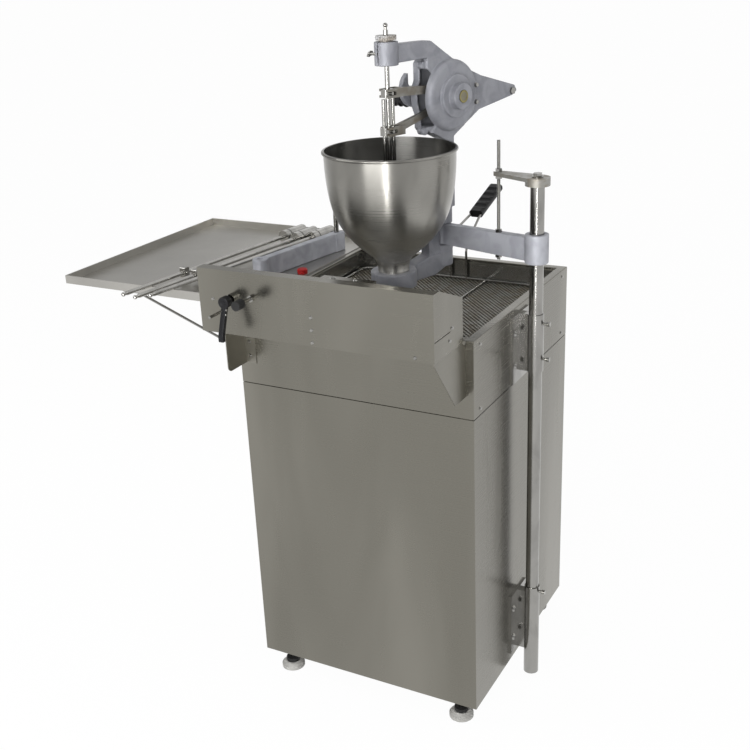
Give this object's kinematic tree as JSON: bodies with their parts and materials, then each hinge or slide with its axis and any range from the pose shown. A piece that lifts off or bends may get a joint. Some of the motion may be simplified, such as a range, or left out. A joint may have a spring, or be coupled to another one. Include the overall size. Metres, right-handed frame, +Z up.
{
  "type": "donut fryer with batter depositor",
  "caption": "Floor-standing donut fryer: steel cabinet, fry tank and screen, drain tray, and a hand-cranked batter hopper on a swing arm.",
  "frame": {"origin": "on the floor, under the middle of the machine's bounding box", "axes": "+Z up, the front guard faces -Y, the drain tray hangs out to -X"},
  "size_m": [1.1366, 0.977, 1.518],
  "materials": {
    "stainless": "satin brushed",
    "tank_steel": "dull",
    "polished_steel": "polished",
    "zinc_rod": "threaded, zinc plated",
    "dark_steel": "dark, heat stained",
    "cast_grey": "matte, cast texture",
    "link_steel": "dull, oily",
    "nut_grey": "satin, knurled",
    "brass": "turned",
    "black_plastic": "satin",
    "black_rubber": "matte",
    "foot_grey": "satin",
    "red_plastic": "gloss"
  },
  "bodies": {
    "base": {"lower_cabinet": "stainless", "foot_pads": "foot_grey", "foot_rings": "black_rubber", "foot_stems": "polished_steel", "upper_housing": "stainless", "wall_fasteners": "polished_steel", "fry_tank": "tank_steel", "heating_element": "dark_steel", "element_cover": "stainless", "front_guard": "stainless", "guard_gusset": "stainless", "guard_bracket": "stainless", "guard_fasteners": "polished_steel", "lever_bush": "polished_steel", "stop_studs": "polished_steel", "bumper_sleeve": "black_rubber", "tray_braces": "polished_steel", "upper_bracket": "stainless", "lower_bracket": "stainless", "set_screws": "polished_steel", "post": "polished_steel", "hanger_bolt": "polished_steel", "door_hinges": "stainless", "cable_gland": "black_plastic"},
    "door": {"service_door": "stainless", "door_handle": "polished_steel"},
    "knob": {"thermostat_knob": "black_plastic"},
    "lever": {"front_lever": "black_plastic", "lever_shaft": "polished_steel"},
    "tray": {"drain_tray": "stainless", "tray_knob": "red_plastic"},
    "spare_a": {"spare_plunger_a": "polished_steel"},
    "spare_b": {"spare_plunger_b": "polished_steel"},
    "spare_c": {"spare_plunger_c": "polished_steel"},
    "extension": {"extension_arm": "cast_grey", "extension_pin": "polished_steel"},
    "screen": {"screen_frame": "polished_steel", "screen_mesh": "dark_steel", "screen_grip": "black_plastic"},
    "hanger": {"hanger_bracket": "cast_grey", "hanger_nuts": "polished_steel"},
    "arm": {"swing_arm": "cast_grey", "arm_nuts": "polished_steel", "threaded_rod": "zinc_rod", "pivot_pin": "polished_steel"},
    "head": {"depositor_frame": "cast_grey", "cam_cover": "cast_grey", "cover_screws": "polished_steel", "shaft_bush": "brass", "hopper": "stainless", "deposit_cylinder": "dark_steel"},
    "crank": {"crank_shaft": "polished_steel", "crank_arm": "cast_grey"},
    "grip": {"crank_grip": "black_plastic"},
    "upper_lever": {"upper_link": "link_steel"},
    "lower_lever": {"lower_link": "link_steel"},
    "plunger": {"plunger_rod": "polished_steel"},
    "cutter": {"cutter_rods": "polished_steel"},
    "portion": {"portion_nut": "nut_grey"},
    "wing": {"wing_screw": "polished_steel"}
  },
  "joints": [
    {"name": "arm_swing", "type": "hinge", "parent": "base", "child": "hanger", "pos_m": [0.53575, -0.0375, 1.055], "axis": [0, 0, 1], "range_deg": [-100, 20]},
    {"name": "arm_height", "type": "slide", "parent": "hanger", "child": "arm", "axis": [0, 0, 1], "range_m": [-0.01, 0.04]},
    {"name": "depositor_swing", "type": "hinge", "parent": "arm", "child": "head", "pos_m": [0.28371, 0.03764, 1.055], "axis": [0, 0, 1], "range_deg": [-60, 25]},
    {"name": "crank_turn", "type": "hinge", "parent": "head", "child": "crank", "pos_m": [0.28951, 0.05468, 1.357], "axis": [-0.9466, 0.3223, 0], "range_deg": [0, 170]},
    {"name": "grip_turn", "type": "hinge", "parent": "crank", "child": "grip", "pos_m": [0.20232, 0.01886, 1.345], "axis": [0.9466, -0.3223, 0], "continuous": true},
    {"name": "upper_link_swing", "type": "hinge", "parent": "head", "child": "upper_lever", "pos_m": [0.35461, 0.2459, 1.343], "axis": [-0.9466, 0.3223, 0], "range_deg": [0, 3.2]},
    {"name": "lower_link_swing", "type": "hinge", "parent": "head", "child": "lower_lever", "pos_m": [0.35461, 0.2459, 1.343], "axis": [0.9466, -0.3223, 0], "range_deg": [0, 2.3]},
    {"name": "plunger_slide", "type": "slide", "parent": "head", "child": "plunger", "axis": [0, 0, 1], "range_m": [0, 0.0205]},
    {"name": "cutter_slide", "type": "slide", "parent": "head", "child": "cutter", "axis": [0, 0, -1], "range_m": [0, 0.0145]},
    {"name": "portion_nut_turn", "type": "hinge", "parent": "head", "child": "portion", "pos_m": [0.23473, -0.10626, 1.485], "axis": [0, 0, 1], "continuous": true},
    {"name": "wing_screw_turn", "type": "hinge", "parent": "head", "child": "wing", "pos_m": [0.20202, -0.11545, 1.4585], "axis": [0.9466, -0.3223, 0], "range_deg": [-90, 90]},
    {"name": "lever_swing", "type": "hinge", "parent": "base", "child": "lever", "pos_m": [0.03875, -0.4465, 1.016], "axis": [0, -1, 0], "range_deg": [-30, 70]},
    {"name": "screen_lift", "type": "slide", "parent": "base", "child": "screen", "axis": [0, 0, 1], "range_m": [0, 0.045]},
    {"name": "tray_lift", "type": "slide", "parent": "base", "child": "tray", "axis": [0, 0, 1], "range_m": [0, 0.1]},
    {"name": "spare_a_lift", "type": "slide", "parent": "tray", "child": "spare_a", "axis": [0, 0, 1], "range_m": [0, 0.08]},
    {"name": "spare_b_lift", "type": "slide", "parent": "tray", "child": "spare_b", "axis": [0, 0, 1], "range_m": [0, 0.08]},
    {"name": "spare_c_lift", "type": "slide", "parent": "tray", "child": "spare_c", "axis": [0, 0, 1], "range_m": [0, 0.08]},
    {"name": "extension_lift", "type": "slide", "parent": "tray", "child": "extension", "axis": [0, 0, 1], "range_m": [0, 0.08]},
    {"name": "door_swing", "type": "hinge", "parent": "base", "child": "door", "pos_m": [-0.00525, 0.282, 0.355], "axis": [0, 0, 1], "range_deg": [0, 110]},
    {"name": "thermostat_turn", "type": "hinge", "parent": "base", "child": "knob", "pos_m": [0.05875, 0.2835, 0.85], "axis": [0, 1, 0], "range_deg": [0, 270]}
  ],
  "couplings": [
    {"joint": "upper_link_swing", "follows": "crank_turn", "ratio": 0.01812},
    {"joint": "plunger_slide", "follows": "crank_turn", "m_per_rad": 0.006741},
    {"joint": "lower_link_swing", "follows": "crank_turn", "ratio": 0.012684},
    {"joint": "cutter_slide", "follows": "crank_turn", "m_per_rad": 0.004718}
  ]
}
